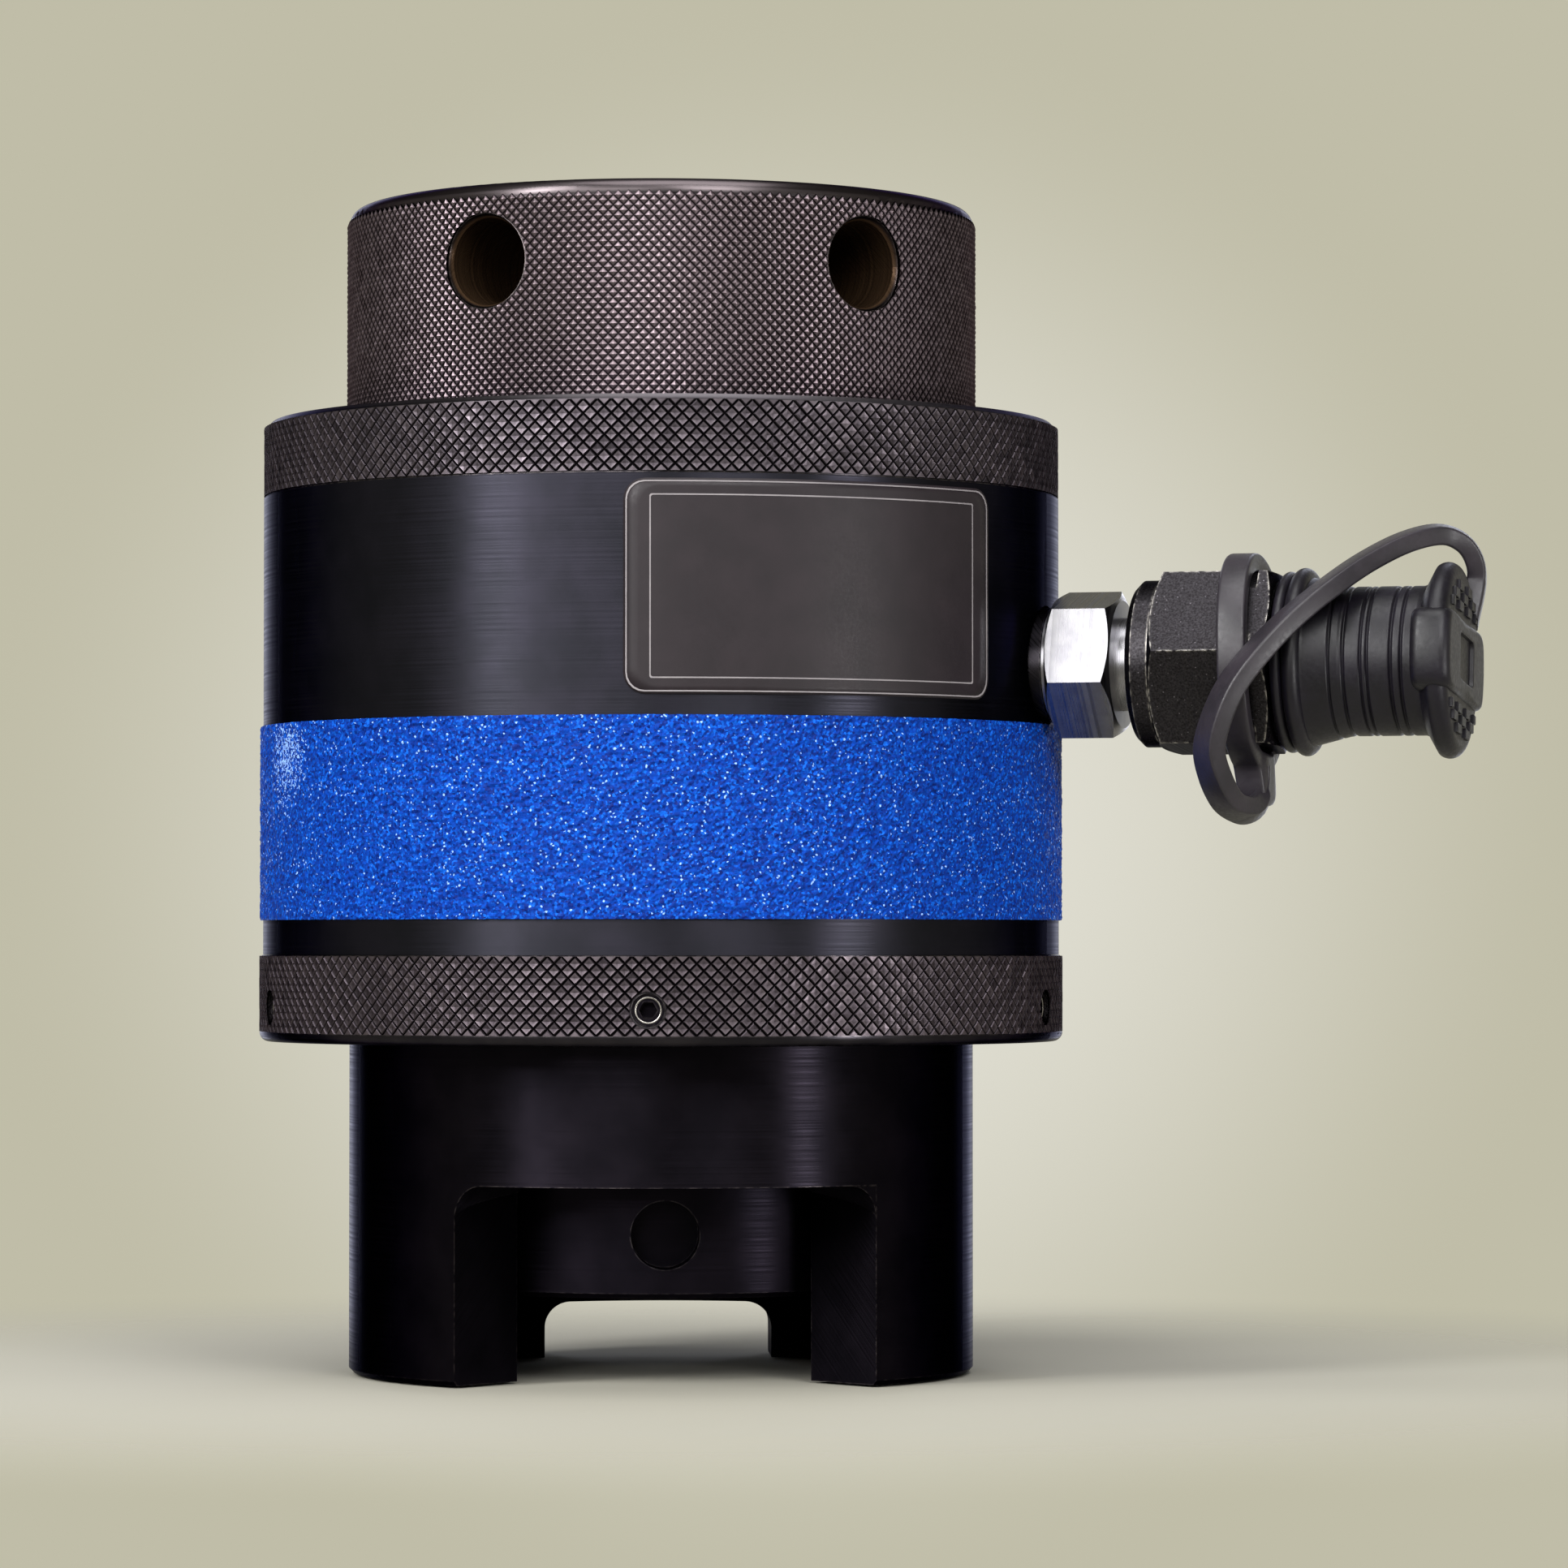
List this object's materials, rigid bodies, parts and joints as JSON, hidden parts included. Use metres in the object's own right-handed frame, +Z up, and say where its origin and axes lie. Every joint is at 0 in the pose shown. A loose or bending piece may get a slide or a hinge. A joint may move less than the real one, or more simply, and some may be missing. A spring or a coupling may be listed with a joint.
{
  "type": "hydraulic bolt tensioner",
  "caption": "Round hydraulic bolt tensioner: load cell on a slotted reaction bridge, knurled puller on top, nut socket inside and a capped quick-connect nipple at the side.",
  "frame": {"origin": "on the stud axis at the foot of the bridge", "axes": "+Z up along the stud axis, +X along the nipple away from the body"},
  "size_m": [0.1597, 0.105, 0.1515],
  "materials": {
    "black_steel": "black oxide over turned steel",
    "socket_steel": "worn black oxide",
    "ground_steel": "ground",
    "spring_steel": "drawn wire",
    "zinc_plate": "bright zinc plate",
    "nipple_steel": "black phosphate, worn edges",
    "grip_tape": "abrasive grit in film",
    "cap_rubber": "moulded, matte",
    "seal_rubber": "moulded",
    "seal_polyurethane": "moulded",
    "backup_plastic": "turned",
    "guide_plastic": "fabric phenolic strip",
    "brass": "turned"
  },
  "bodies": {
    "bridge": {"bridge": "black_steel"},
    "socket": {"nut_socket": "socket_steel", "socket_circlip": "spring_steel"},
    "load_cell": {"cylinder": "black_steel", "spring_cap": "black_steel", "cap_wiper": "seal_rubber", "retaining_collar": "black_steel", "collar_set_screws": "socket_steel", "grip_band": "grip_tape", "rod_seal": "seal_polyurethane", "rod_backup_ring": "backup_plastic", "skirt_guide_ring": "guide_plastic", "port_adapter": "zinc_plate", "port_seal_washer": "zinc_plate", "nipple_body": "nipple_steel", "spring_seat": "ground_steel", "poppet_spring": "spring_steel", "tether_ring": "cap_rubber", "return_spring": "spring_steel"},
    "valve": {"valve_poppet": "brass", "poppet_seal": "seal_rubber"},
    "piston": {"piston": "ground_steel", "piston_seal": "seal_polyurethane", "piston_backup_ring": "backup_plastic"},
    "puller": {"puller": "black_steel", "puller_o_ring": "seal_rubber"},
    "dust_cap": {"dust_cap": "cap_rubber", "tether_strap": "cap_rubber"}
  },
  "joints": [
    {"name": "body_swivel", "type": "hinge", "parent": "bridge", "child": "load_cell", "pos_m": [0, 0, 0.052], "axis": [0, 0, 1], "continuous": true},
    {"name": "socket_spin", "type": "hinge", "parent": "bridge", "child": "socket", "pos_m": [0, 0, 0.0205], "axis": [0, 0, 1], "continuous": true},
    {"name": "piston_stroke", "type": "slide", "parent": "load_cell", "child": "piston", "axis": [0, 0, 1], "range_m": [0, 0.01], "stiffness_N_per_m": 15000, "springref_m": -0.01, "deforming": ["return_spring"]},
    {"name": "puller_spin", "type": "hinge", "parent": "piston", "child": "puller", "pos_m": [0, 0, 0.12], "axis": [0, 0, 1], "continuous": true},
    {"name": "dust_cap_pull", "type": "slide", "parent": "load_cell", "child": "dust_cap", "axis": [1, 0, 0], "range_m": [0, 0.025], "deforming": ["tether_strap"]},
    {"name": "valve_press", "type": "slide", "parent": "load_cell", "child": "valve", "axis": [-1, 0, 0], "range_m": [0, 0.003], "stiffness_N_per_m": 500, "deforming": ["poppet_spring"]}
  ]
}
